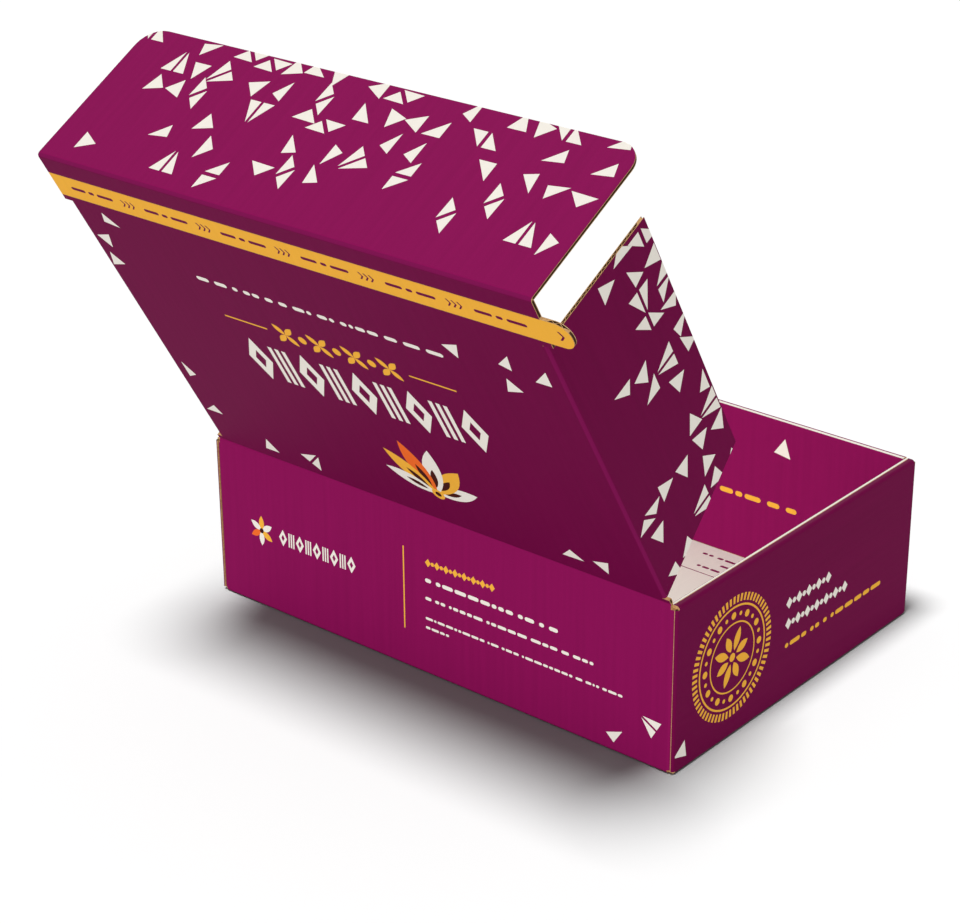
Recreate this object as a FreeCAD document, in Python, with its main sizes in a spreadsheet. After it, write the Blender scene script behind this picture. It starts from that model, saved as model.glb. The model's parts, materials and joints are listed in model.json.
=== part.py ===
import FreeCAD, Part
import math
import os
import Sketcher

# Corrugated mailer box with rolled walls, folded from one sheet of E-flute board.
# Millimetres, +Z up, front wall towards -Y, lid hinged on the back wall (+Y), origin under the
# middle of the tray. The lid stands open with its front flap and side flaps folded square.

doc = FreeCAD.newDocument("mailer_box")
sizes = doc.addObject("Spreadsheet::Sheet", "Sizes")
layout = doc.addObject("Spreadsheet::Sheet", "Layout")

# Driving dimensions
driving = {
    "box_length": "264", "box_depth": "184", "wall_height": "79",
    "board": "1.5", "layer_gap": "0.15", "bend": "1.4", "roll_inner_bend": "0.9",
    "front_roll_space": "0.6", "edge_crush": "1.2", "corner_tab": "58",
    "lock_width": "24", "lock_place": "30", "lock_depth": "1.3", "slot_play": "0.25",
    "crease_gap": "0.25", "crease_nose": "0.1", "closing_gap": "0.85", "flap_play": "0.2",
    "lid_open": "120", "front_fold": "90",
    "front_reach": "77", "front_corner": "11",
    "side_reach": "66", "side_start": "3", "side_notch": "3", "side_slope": "23.4",
    "strip_width": "13", "strip_inset": "9.8",
    "tab_reach": "12.6", "tab_front_corner": "6.5", "tab_rear_corner": "6", "tab_extra": "0.1",
    "cut_pitch": "7", "cut_length": "4.5", "cut_width": "0.3", "cut_margin": "5",
    "flute_pitch": "3.5", "liner": "0.25", "web": "0.2", "flute_stop": "3", "edge_margin": "0.9", "mouth_depth": "10",
    "edge_groove": "0.6",
}
# Places worked out from them: faces of the layers, creases, the flute's triangles
places = {
    "half_length": "=Sizes.box_length / 2",
    "half_depth": "=Sizes.box_depth / 2",
    "half_board": "=Sizes.board / 2",
    "panel_inner": "=half_length - Sizes.board",
    "tab_outer": "=panel_inner - Sizes.layer_gap",
    "tab_inner": "=tab_outer - Sizes.board",
    "lining_outer": "=tab_inner - Sizes.layer_gap",
    "lining_inner": "=lining_outer - Sizes.board",
    "lining_foot": "=Sizes.board + Sizes.layer_gap",
    "roll_under": "=Sizes.wall_height - Sizes.board",
    "cut_top": "=Sizes.wall_height - Sizes.bend",
    "tab_top": "=roll_under - Sizes.layer_gap",
    "panel_foot": "=Sizes.bend",
    "long_inner": "=half_depth - Sizes.board",
    "end_width": "=2 * (long_inner - Sizes.layer_gap)",
    "panel_half": "=half_depth - Sizes.layer_gap",
    "tab_end_y": "=half_depth - Sizes.corner_tab",
    "front_lining_outer": "=long_inner - Sizes.front_roll_space",
    "front_lining_inner": "=front_lining_outer - Sizes.board",
    "front_roll_half": "=lining_inner - Sizes.layer_gap",
    "lock_far": "=Sizes.lock_place + Sizes.lock_width",
    "lock_bottom": "=Sizes.board - Sizes.lock_depth",
    "lock_top": "=lining_foot + Sizes.board",
    "slot_near": "=Sizes.lock_place - Sizes.slot_play",
    "slot_far": "=lock_far + Sizes.slot_play",
    "end_slot_in": "=lining_inner - Sizes.slot_play",
    "end_slot_out": "=lining_outer + Sizes.slot_play",
    "front_slot_in": "=front_lining_inner - Sizes.slot_play",
    "front_slot_out": "=front_lining_outer + Sizes.slot_play",
    "crease_full": "=Sizes.crease_gap + half_board - Sizes.crease_nose",
    "hinge_y": "=half_depth - half_board",
    "hinge_z": "=Sizes.wall_height + crease_full",
    "wall_full": "=hinge_z - crease_full",
    "wall_nose": "=hinge_z - Sizes.crease_gap",
    "hinge_nose_out": "=hinge_y + Sizes.crease_nose",
    "hinge_nose_in": "=hinge_y - Sizes.crease_nose",
    "lid_reach": "=hinge_y + half_depth + Sizes.closing_gap + half_board",
    "lid_front_full": "=lid_reach - crease_full",
    "lid_front_nose": "=lid_reach - Sizes.crease_gap",
    "side_crease": "=lining_inner - Sizes.flap_play - half_board",
    "side_full": "=side_crease - crease_full",
    "side_nose": "=side_crease - Sizes.crease_gap",
    "side_face_out": "=side_crease + half_board",
    "side_face_in": "=side_crease - half_board",
    "side_nose_out": "=side_crease + Sizes.crease_nose",
    "side_nose_in": "=side_crease - Sizes.crease_nose",
    "strip_front": "=lid_reach - Sizes.strip_inset",
    "strip_rear": "=strip_front - Sizes.strip_width",
    "pull_end": "=tab_outer + Sizes.tab_reach",
    "pull_rear": "=strip_rear - Sizes.tab_extra",
    "side_end": "=pull_rear - Sizes.side_notch",
    "side_length": "=side_end - Sizes.side_start",
    "side_rear": "=Sizes.side_start + Sizes.side_slope",
    "relief_start": "=Sizes.side_start - Sizes.crease_gap",
    "relief_end": "=side_end + Sizes.crease_gap",
    "relief_length": "=relief_end - relief_start",
    "pull_width": "=strip_front - pull_rear",
    "core": "=half_board - Sizes.liner",
    "slant": "=sqrt(pow(Sizes.flute_pitch / 2; 2) + pow(2 * core; 2))",
    "peak_play": "=Sizes.web * slant / Sizes.flute_pitch",
    "core_peak": "=core - peak_play",
    "flute_foot": "=Sizes.web * slant / (4 * core)",
    "flute_middle": "=Sizes.flute_pitch / 2",
    "flute_low_end": "=Sizes.flute_pitch - flute_foot",
    "flute_high_start": "=flute_middle + flute_foot",
    "flute_high_end": "=Sizes.flute_pitch + flute_middle - flute_foot",
    "front_flutes": "=floor((2 * (tab_outer - Sizes.edge_margin) - flute_high_end) / Sizes.flute_pitch) + 1",
    "front_flute_start": "=tab_outer - Sizes.edge_margin",
    "front_flute_depth": "=Sizes.front_reach - Sizes.flute_stop",
    "side_flute_start": "=crease_full + Sizes.edge_margin",
    "side_flutes": "=floor((Sizes.side_reach - side_flute_start - Sizes.edge_margin - flute_high_end)"
                   " / Sizes.flute_pitch) + 1",
    "mouth_start": "=Sizes.bend + Sizes.edge_margin",
    "mouth_x": "=half_length - half_board",
    "mouths": "=floor((cut_top - mouth_start - Sizes.edge_margin - flute_high_end) / Sizes.flute_pitch) + 1",
    "pull_flute_start": "=pull_end - Sizes.edge_margin",
    "pull_flutes": "=floor((Sizes.tab_reach - Sizes.edge_margin - flute_high_end) / Sizes.flute_pitch) + 1",
    "groove_in": "=tab_outer - Sizes.edge_groove",
    "pull_groove_in": "=pull_end - Sizes.edge_groove",
    "side_groove_in": "=Sizes.side_reach - Sizes.edge_groove",
    "cut_start": "=tab_outer - Sizes.cut_margin",
    "cuts": "=floor((2 * cut_start - Sizes.cut_length) / Sizes.cut_pitch) + 1",
    "cut_front_out": "=strip_front + Sizes.cut_width / 2",
    "cut_front_in": "=strip_front - Sizes.cut_width / 2",
    "cut_rear_out": "=strip_rear + Sizes.cut_width / 2",
    "cut_rear_in": "=strip_rear - Sizes.cut_width / 2",
    "lid_end_y": "=hinge_y + lid_reach * -cos(Sizes.lid_open)",
    "lid_end_z": "=hinge_z + lid_reach * sin(Sizes.lid_open)",
    "front_turn": "=Sizes.lid_open - Sizes.front_fold",
}

for page, cells in ((sizes, driving), (layout, places)):
    for row, (name, content) in enumerate(cells.items(), start=1):
        page.set(f"A{row}", name)
        page.set(f"B{row}", content)
        page.setAlias(f"B{row}", name)
    doc.recompute()


def size(name):
    """Present value of a size or place."""
    page = sizes if name in driving else layout
    return float(page.get(name))


def term(name):
    """Expression and value of a name, which may have a minus sign; 0 has no expression."""
    if name == "0":
        return "", 0.0
    plain = name.lstrip("-")
    page = sizes if plain in driving else layout
    if name.startswith("-"):
        return f"-{page.Name}.{plain}", -size(plain)
    return f"{page.Name}.{plain}", size(plain)


def flipped(name):
    """The same name on the other side of the axis."""
    if name == "0":
        return name
    return name[1:] if name.startswith("-") else "-" + name


def mirrored(corners):
    return [(flipped(corner[0]),) + tuple(corner[1:]) for corner in reversed(corners)]


def origin_item(body, role):
    return next(item for item in body.Origin.OriginFeatures if item.Role == role)


def draw_loop(sketch, corners):
    """One closed outline. A corner is (x, y) or (x, y, radius), all of them names."""
    points = [FreeCAD.Vector(term(c[0])[1], term(c[1])[1], 0) for c in corners]
    radii = [size(c[2]) if len(c) > 2 else 0.0 for c in corners]
    starts, ends, arcs = [], [], []
    for index, point in enumerate(points):
        back = (points[index - 1] - point).normalize()
        ahead = (points[(index + 1) % len(points)] - point).normalize()
        half_angle = back.getAngle(ahead) / 2
        trim = radii[index] / math.tan(half_angle)
        starts.append(point + ahead * trim)
        ends.append(point + back * trim)
        if radii[index]:
            centre = point + (back + ahead).normalize() * (radii[index] / math.sin(half_angle))
            arcs.append((index, centre))

    lines = []
    for index in range(len(points)):
        after = (index + 1) % len(points)
        lines.append(sketch.addGeometry(Part.LineSegment(starts[index], ends[after]), False))

    turned = {}
    for index, centre in arcs:
        first, last = ends[index] - centre, starts[index] - centre
        clockwise = first.cross(last).z < 0
        angles = [math.atan2(v.y, v.x) for v in ((last, first) if clockwise else (first, last))]
        circle = Part.Circle(centre, FreeCAD.Vector(0, 0, 1), radii[index])
        arc = sketch.addGeometry(Part.ArcOfCircle(circle, *angles), False)
        turned[index] = (arc, 2 if clockwise else 1, 1 if clockwise else 2)

    def bind(kind, items, name):
        text, value = term(name)
        if not text:
            sketch.addConstraint(Sketcher.Constraint("PointOnObject", *items, -1 if kind == "DistanceY" else -2))
            return
        number = sketch.addConstraint(Sketcher.Constraint(kind, -1, 1, *items, value))
        sketch.setExpression(f"Constraints[{number}]", text)

    level = []
    for index, line in enumerate(lines):
        here, there = corners[index], corners[(index + 1) % len(corners)]
        flat, upright = here[1] == there[1], here[0] == there[0]
        level.append((flat, upright))
        if flat:
            sketch.addConstraint(Sketcher.Constraint("Horizontal", line))
            bind("DistanceY", (line, 1), here[1])
        if upright:
            sketch.addConstraint(Sketcher.Constraint("Vertical", line))
            bind("DistanceX", (line, 1), here[0])

    for index, line in enumerate(lines):
        before = lines[index - 1]
        if index in turned:
            arc, arriving, leaving = turned[index]
            sketch.addConstraint(Sketcher.Constraint("Tangent", before, 2, arc, arriving))
            sketch.addConstraint(Sketcher.Constraint("Tangent", arc, leaving, line, 1))
            number = sketch.addConstraint(Sketcher.Constraint("Radius", arc, radii[index]))
            sketch.setExpression(f"Constraints[{number}]", term(corners[index][2])[0])
            continue
        sketch.addConstraint(Sketcher.Constraint("Coincident", before, 2, line, 1))
        known_y = level[index][0] or level[index - 1][0]
        known_x = level[index][1] or level[index - 1][1]
        if not known_x:
            bind("DistanceX", (line, 1), corners[index][0])
        if not known_y:
            bind("DistanceY", (line, 1), corners[index][1])


def outline(body, role, name, loops, shift=("0", "0", "0")):
    """Closed outlines on an origin plane of the body, moved in that plane and along its normal."""
    sketch = body.newObject("Sketcher::SketchObject", name)
    sketch.AttachmentSupport = (origin_item(body, role), "")
    sketch.MapMode = "FlatFace"
    for axis, amount in zip("xyz", shift):
        if amount != "0":
            sketch.setExpression(f"AttachmentOffset.Base.{axis}", term(amount)[0])
    for corners in loops:
        draw_loop(sketch, corners)
    doc.recompute()
    return sketch


def pad(body, sketch, name, length, both_ways=True):
    """Extrude by an expression, half to each side of the sketch or all along its normal."""
    feature = body.newObject("PartDesign::Pad", name)
    feature.Profile = sketch
    feature.SideType = "Symmetric" if both_ways else "One side"
    feature.setExpression("Length", length)
    doc.recompute()
    return feature


def pocket(body, sketch, name, length, along_normal=False):
    """Cut by an expression, and make sure that it takes material away."""
    before = body.Shape.Volume
    feature = body.newObject("PartDesign::Pocket", name)
    feature.Profile = sketch
    feature.Reversed = along_normal
    feature.setExpression("Length", length)
    doc.recompute()
    if body.Shape.Volume >= before - 1e-6:
        raise RuntimeError(f"{name} cuts nothing")
    return feature


def repeat(body, feature, name, sketch, axis, count, length):
    """Repeat a cut along an axis of its sketch."""
    before = body.Shape.Volume
    pattern = body.newObject("PartDesign::LinearPattern", name)
    pattern.Originals = [feature]
    pattern.Direction = (sketch, [axis])
    pattern.setExpression("Length", length)
    pattern.setExpression("Occurrences", count)
    body.Tip = pattern
    doc.recompute()
    if body.Shape.Volume >= before - 1e-6:
        raise RuntimeError(f"{name} repeats nothing")
    return pattern


def new_body(label):
    body = doc.addObject("PartDesign::Body", label)
    body.Label = label
    return body


# One pitch of the fluted medium as two triangular channels on a cut edge, as (along, through)
def flute_loops():
    low = [("flute_foot", "-core"), ("flute_low_end", "-core"), ("flute_middle", "core_peak")]
    high = [("flute_high_start", "core"), ("flute_pitch", "-core_peak"), ("flute_high_end", "core")]
    return [low, high]


def turned_loops():
    """The same channels with the edge standing upright, as (through, along)."""
    return [[(through, along) for along, through in loop] for loop in flute_loops()]


def groove_loop(inner, edge):
    """The gap between the liners on an edge cut along the flutes, as (towards the edge, through)."""
    return [(inner, "-core"), (edge, "-core"), (edge, "core"), (inner, "core")]


# Tray: floor, back wall, rolled front wall, two rolled end walls round four corner tabs, and the
# lock tabs of the rolled linings seated in slots of the floor, all of it one folded sheet.
def make_tray():
    body = new_body("tray")

    long_walls = outline(body, "YZ_Plane", "long_walls", [[
        ("half_depth", "0", "bend"),
        ("half_depth", "wall_full"),
        ("hinge_nose_out", "wall_nose"),
        ("hinge_nose_in", "wall_nose"),
        ("long_inner", "wall_full"),
        ("long_inner", "board"),
        ("-long_inner", "board"),
        ("-long_inner", "cut_top"),
        ("-half_depth", "cut_top"),
        ("-half_depth", "0", "bend")]])
    pad(body, long_walls, "floor_and_long_walls", "2 * Layout.tab_inner")

    right_end = [
        ("half_length", "0", "bend"),
        ("half_length", "wall_height", "bend"),
        ("lining_inner", "wall_height", "roll_inner_bend"),
        ("lining_inner", "lining_foot"),
        ("lining_outer", "lining_foot"),
        ("lining_outer", "roll_under"),
        ("panel_inner", "roll_under"),
        ("panel_inner", "board")]
    end_section = outline(body, "XZ_Plane", "end_section", [right_end + mirrored(right_end)])
    pad(body, end_section, "rolled_ends", "Layout.end_width")

    right_panel = [
        ("half_length", "panel_half", "edge_crush"), ("panel_inner", "panel_half"),
        ("panel_inner", "-panel_half"), ("half_length", "-panel_half", "edge_crush")]
    end_panels = outline(body, "XY_Plane", "end_panel_outline", [right_panel, mirrored(right_panel)],
                         shift=("0", "0", "panel_foot"))
    pad(body, end_panels, "end_panels", "Layout.cut_top - Layout.panel_foot", both_ways=False)

    front_section = outline(body, "YZ_Plane", "front_section", [[
        ("-half_depth", "board"),
        ("-half_depth", "wall_height", "bend"),
        ("-front_lining_inner", "wall_height", "roll_inner_bend"),
        ("-front_lining_inner", "lining_foot"),
        ("-front_lining_outer", "lining_foot"),
        ("-front_lining_outer", "roll_under"),
        ("-long_inner", "roll_under"),
        ("-long_inner", "board")]])
    pad(body, front_section, "rolled_front", "2 * Layout.front_roll_half")

    back_tabs = [
        ("tab_outer", "half_depth", "bend"),
        ("-tab_outer", "half_depth", "bend"),
        ("-tab_outer", "tab_end_y"),
        ("-tab_inner", "tab_end_y"),
        ("-tab_inner", "long_inner"),
        ("tab_inner", "long_inner"),
        ("tab_inner", "tab_end_y"),
        ("tab_outer", "tab_end_y")]
    front_tabs = [(x, flipped(y), *rest) for x, y, *rest in back_tabs]
    tabs = outline(body, "XY_Plane", "tab_outline", [back_tabs, front_tabs], shift=("0", "0", "lining_foot"))
    pad(body, tabs, "corner_tabs", "Layout.tab_top - Layout.lining_foot", both_ways=False)

    slot_loops, lock_loops = [], []
    for side in ("", "-"):
        for end in ("", "-"):
            slot_loops.append([(side + "end_slot_in", end + "slot_near"), (side + "end_slot_out", end + "slot_near"),
                               (side + "end_slot_out", end + "slot_far"), (side + "end_slot_in", end + "slot_far")])
            lock_loops.append([(side + "lining_inner", end + "lock_place"), (side + "lining_outer", end + "lock_place"),
                               (side + "lining_outer", end + "lock_far"), (side + "lining_inner", end + "lock_far")])
        slot_loops.append([(side + "slot_near", "-front_slot_in"), (side + "slot_far", "-front_slot_in"),
                           (side + "slot_far", "-front_slot_out"), (side + "slot_near", "-front_slot_out")])
        lock_loops.append([(side + "lock_place", "-front_lining_inner"), (side + "lock_far", "-front_lining_inner"),
                           (side + "lock_far", "-front_lining_outer"), (side + "lock_place", "-front_lining_outer")])
    slots = outline(body, "XY_Plane", "slot_outline", slot_loops)
    pocket(body, slots, "floor_slots", "Sizes.board", along_normal=True)
    locks = outline(body, "XY_Plane", "lock_outline", lock_loops, shift=("0", "0", "lock_bottom"))
    pad(body, locks, "lock_tabs", "Layout.lock_top - Layout.lock_bottom", both_ways=False)

    for place_name, side, end in (("front_left", "-", ""), ("front_right", "", ""),
                                  ("back_left", "-", "-"), ("back_right", "", "-")):
        mouths = outline(body, "XZ_Plane", place_name + "_flutes", turned_loops(),
                         shift=(side + "mouth_x", "mouth_start", end + "panel_half"))
        mouth = pocket(body, mouths, place_name + "_mouth", "Sizes.mouth_depth", along_normal=end == "-")
        repeat(body, mouth, place_name + "_mouths", mouths, "V_Axis", "Layout.mouths",
               "(Layout.mouths - 1) * Sizes.flute_pitch")
    return body


# Lid, drawn flat from its hinge towards -Y: full width where it lies on the tray, narrower between
# the side flaps' creases, with the tear strip's cuts and pull tab and a crushed crease on each side
# that folds.
def make_lid():
    body = new_body("lid")

    plan = outline(body, "XY_Plane", "lid_plan", [[
        ("tab_inner", "-crease_full"),
        ("tab_inner", "-relief_start"),
        ("side_full", "-relief_start"),
        ("side_full", "-relief_end"),
        ("tab_outer", "-relief_end"),
        ("tab_outer", "-lid_front_full"),
        ("-tab_outer", "-lid_front_full"),
        ("-tab_outer", "-strip_front"),
        ("-pull_end", "-strip_front", "tab_front_corner"),
        ("-pull_end", "-pull_rear", "tab_rear_corner"),
        ("-tab_outer", "-pull_rear"),
        ("-tab_outer", "-relief_end"),
        ("-side_full", "-relief_end"),
        ("-side_full", "-relief_start"),
        ("-tab_inner", "-relief_start"),
        ("-tab_inner", "-crease_full")]])
    pad(body, plan, "lid_panel", "Sizes.board")

    hinge_crease = outline(body, "YZ_Plane", "hinge_crease_outline", [
        [("-crease_full", "-half_board"), ("-crease_gap", "-crease_nose"),
         ("-crease_gap", "crease_nose"), ("-crease_full", "half_board")]])
    pad(body, hinge_crease, "hinge_crease", "2 * Layout.tab_inner")
    front_crease = outline(body, "YZ_Plane", "front_crease_outline", [
        [("-lid_front_full", "half_board"), ("-lid_front_nose", "crease_nose"),
         ("-lid_front_nose", "-crease_nose"), ("-lid_front_full", "-half_board")]])
    pad(body, front_crease, "front_crease", "2 * Layout.tab_outer")

    side = [("side_full", "-half_board"), ("side_nose", "-crease_nose"),
            ("side_nose", "crease_nose"), ("side_full", "half_board")]
    side_creases = outline(body, "XZ_Plane", "side_creases", [side, mirrored(side)],
                           shift=("0", "0", "relief_start"))
    pad(body, side_creases, "side_flap_creases", "Layout.relief_length", both_ways=False)

    cut_pair = [
        [("0", "-" + line + "_out"), ("cut_length", "-" + line + "_out"),
         ("cut_length", "-" + line + "_in"), ("0", "-" + line + "_in")]
        for line in ("cut_front", "cut_rear")]
    cuts = outline(body, "XY_Plane", "strip_cuts", cut_pair, shift=("-cut_start", "0", "-half_board"))
    cut = pocket(body, cuts, "strip_cut", "Sizes.board", along_normal=True)
    repeat(body, cut, "strip_cut_rows", cuts, "H_Axis", "Layout.cuts",
           "(Layout.cuts - 1) * Sizes.cut_pitch")

    flutes = outline(body, "XZ_Plane", "pull_tab_flutes", flute_loops(),
                     shift=("-pull_flute_start", "0", "strip_front"))
    channels = pocket(body, flutes, "pull_tab_channels", "Layout.pull_width")
    repeat(body, channels, "pull_tab_channel_row", flutes, "H_Axis", "Layout.pull_flutes",
           "(Layout.pull_flutes - 1) * Sizes.flute_pitch")

    for name, loop, front, length in (
            ("right_edge_groove", groove_loop("groove_in", "tab_outer"), "lid_front_full",
             "Layout.lid_front_full - Layout.relief_end"),
            ("left_edge_groove", groove_loop("-groove_in", "-tab_outer"), "lid_front_full",
             "Layout.lid_front_full - Layout.strip_front"),
            ("pull_tab_groove", groove_loop("-pull_groove_in", "-pull_end"), "strip_front", "Layout.pull_width")):
        groove = outline(body, "XZ_Plane", name + "_outline", [loop], shift=("0", "0", front))
        pocket(body, groove, name, length)
    return body


# Front flap, drawn flat from its crease towards -Y, with open flutes along its free edge
def make_front_flap():
    body = new_body("front_flap")

    plan = outline(body, "XY_Plane", "front_flap_plan", [[
        ("tab_outer", "-crease_full"),
        ("-tab_outer", "-crease_full"),
        ("-tab_outer", "-front_reach", "front_corner"),
        ("tab_outer", "-front_reach", "front_corner")]])
    pad(body, plan, "front_flap_panel", "Sizes.board")

    crease = outline(body, "YZ_Plane", "front_flap_crease", [
        [("-crease_full", "-half_board"), ("-crease_gap", "-crease_nose"),
         ("-crease_gap", "crease_nose"), ("-crease_full", "half_board")]])
    pad(body, crease, "front_flap_nose", "2 * Layout.tab_outer")

    flutes = outline(body, "XZ_Plane", "front_flap_flutes", flute_loops(),
                     shift=("-front_flute_start", "0", "front_reach"))
    channels = pocket(body, flutes, "front_flap_channels", "Layout.front_flute_depth")
    repeat(body, channels, "front_flap_channel_row", flutes, "H_Axis", "Layout.front_flutes",
           "(Layout.front_flutes - 1) * Sizes.flute_pitch")

    grooves = outline(body, "XZ_Plane", "front_flap_groove_outline",
                      [groove_loop("groove_in", "tab_outer"), groove_loop("-groove_in", "-tab_outer")],
                      shift=("0", "0", "front_reach"))
    pocket(body, grooves, "front_flap_grooves", "Sizes.front_reach - Layout.crease_full")
    return body


# Side flap, drawn folded square under the lid, with flutes along its crease that open on its front
# edge and on its sloping rear edge. side is "-" for the flap towards -X.
def make_side_flap(label, side):
    body = new_body(label)

    profile = outline(body, "YZ_Plane", "side_flap_profile", [[
        ("-side_start", "-crease_full"),
        ("-side_end", "-crease_full"),
        ("-side_end", "-side_reach"),
        ("-side_rear", "-side_reach")]], shift=("0", "0", side + "side_crease"))
    pad(body, profile, "side_flap_panel", "Sizes.board")

    crease = outline(body, "XZ_Plane", "side_flap_crease", [
        [("half_board", "-crease_full"), ("crease_nose", "-crease_gap"),
         ("-crease_nose", "-crease_gap"), ("-half_board", "-crease_full")]],
        shift=(side + "side_crease", "0", "side_start"))
    pad(body, crease, "side_flap_nose", "Layout.side_length", both_ways=False)

    hanging = [[(through, flipped(along)) for through, along in loop] for loop in turned_loops()]
    flutes = outline(body, "XZ_Plane", "side_flap_flutes", hanging,
                     shift=(side + "side_crease", "-side_flute_start", "side_end"))
    channels = pocket(body, flutes, "side_flap_channels", "Layout.side_length")
    row = repeat(body, channels, "side_flap_channel_row", flutes, "V_Axis", "Layout.side_flutes",
                 "(Layout.side_flutes - 1) * Sizes.flute_pitch")
    row.Reversed = True
    doc.recompute()

    groove = outline(body, "XZ_Plane", "side_flap_groove_outline",
                     [[(through, along) for along, through in groove_loop("-side_groove_in", "-side_reach")]],
                     shift=(side + "side_crease", "0", "side_end"))
    pocket(body, groove, "side_flap_groove", "Layout.side_length")
    return body


def place(body, y, z, turn):
    """Put a body's own origin at (0, y, z), turned about -X, which opens the lid."""
    body.Placement = FreeCAD.Placement(
        FreeCAD.Vector(0, term(y)[1], term(z)[1]),
        FreeCAD.Rotation(FreeCAD.Vector(-1, 0, 0), term(turn)[1]))
    for path, name in (("Placement.Base.y", y), ("Placement.Base.z", z), ("Placement.Rotation.Angle", turn)):
        text = term(name)[0]
        if text:
            body.setExpression(path, text)


tray = make_tray()
lid = make_lid()
front_flap = make_front_flap()
side_flap_left = make_side_flap("side_flap_left", "-")
side_flap_right = make_side_flap("side_flap_right", "")

place(tray, "0", "0", "0")
place(lid, "hinge_y", "hinge_z", "lid_open")
place(front_flap, "lid_end_y", "lid_end_z", "front_turn")
place(side_flap_left, "hinge_y", "hinge_z", "lid_open")
place(side_flap_right, "hinge_y", "hinge_z", "lid_open")
doc.recompute()

for item in doc.Objects:
    if "Invalid" in item.State or "Error" in item.State:
        raise RuntimeError(f"{item.Label} is not valid: {item.State}")

os.makedirs("parts", exist_ok=True)
for body in (tray, lid, front_flap, side_flap_left, side_flap_right):
    shape = body.Shape
    if shape.isNull() or not shape.isValid() or len(shape.Solids) != 1:
        raise RuntimeError(f"{body.Label} is not one valid solid")
    shape.exportStep(f"parts/{body.Label}.step")
    box = shape.BoundBox
    print(f"{body.Label}: {shape.Volume:.0f} mm3, x {box.XMin:.2f}..{box.XMax:.2f}, "
          f"y {box.YMin:.2f}..{box.YMax:.2f}, z {box.ZMin:.2f}..{box.ZMax:.2f}")
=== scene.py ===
import json
import math
import random

import bpy
from mathutils import Matrix, Vector
from mathutils.geometry import delaunay_2d_cdt


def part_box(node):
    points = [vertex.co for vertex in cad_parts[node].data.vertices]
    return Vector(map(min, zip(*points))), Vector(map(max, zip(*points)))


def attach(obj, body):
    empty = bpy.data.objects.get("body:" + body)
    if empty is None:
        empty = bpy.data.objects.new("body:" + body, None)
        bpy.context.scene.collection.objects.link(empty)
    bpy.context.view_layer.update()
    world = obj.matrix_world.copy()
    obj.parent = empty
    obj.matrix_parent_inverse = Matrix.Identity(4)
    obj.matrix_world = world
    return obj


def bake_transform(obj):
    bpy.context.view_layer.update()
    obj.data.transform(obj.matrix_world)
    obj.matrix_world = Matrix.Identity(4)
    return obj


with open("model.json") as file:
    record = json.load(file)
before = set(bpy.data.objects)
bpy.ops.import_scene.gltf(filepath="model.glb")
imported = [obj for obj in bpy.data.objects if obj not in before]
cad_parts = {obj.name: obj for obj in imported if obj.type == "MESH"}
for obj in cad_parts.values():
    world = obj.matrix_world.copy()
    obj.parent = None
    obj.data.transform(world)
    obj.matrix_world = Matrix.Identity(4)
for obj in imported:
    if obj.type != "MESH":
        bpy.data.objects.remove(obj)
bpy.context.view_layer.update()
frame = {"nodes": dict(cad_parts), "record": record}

# Tray: one sheet of E-flute board, printed on both faces and die-cut. The front wall and both end
# walls are rolled over into double walls, and the back wall turns into tabs held inside the ends.
# The board itself is the solid; the print is a skin on each face, so cut edges stay bare kraft.

# Lengths are in millimetres. CORE_HALF is half the fluted core between the liners, SKIN_LOW and
# SKIN_HIGH are the print's two faces above the board's, and GUARD is how near a bend the flat part
# is still held flat. Edges that turn by more than SKIN_SHARP degrees stay sharp.
MM = 0.001
BOARD = 1.5
LAYER_GAP = 0.15
BEND = 1.4
BEND_STEPS = 8
ROLL_INNER_BEND = 0.9
FRONT_ROLL_SPACE = 0.6
CREASE_FULL = 0.9
FLUTE_PITCH = 3.5
CORE_HALF = 0.51
SKIN_LOW, SKIN_HIGH = 0.012, 0.045
GUARD = 0.35
SKIN_SHARP = 40

tray_high = Vector(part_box("tray")[1]) / MM
HALF_LENGTH, HALF_DEPTH = tray_high.x, tray_high.y
joints = {joint["name"]: joint for joint in frame["record"]["behaviour"]["joints"]}
HINGE = Vector(joints["lid_hinge"]["pos_m"]) / MM
WALL_HEIGHT = HINGE.z - CREASE_FULL
TAB_OUTER = HALF_LENGTH - BOARD - LAYER_GAP
LINING_INNER = HALF_LENGTH - 3 * BOARD - 2 * LAYER_GAP
FRONT_LINING = HALF_DEPTH - 2 * BOARD - FRONT_ROLL_SPACE
ROLL_HALF = LINING_INNER - LAYER_GAP
LINING_FOOT = BOARD + LAYER_GAP

FIBRES_PER_METRE = (1100, 420, 1100)
KRAFT_DARK = (0.42, 0.22, 0.085, 1)
KRAFT_PALE = (0.66, 0.40, 0.175, 1)
# painted shade for the hollows of the open flutes on a cut edge
FLUTE_PAINTED_SHADE = (0.055, 0.026, 0.010, 1)


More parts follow.
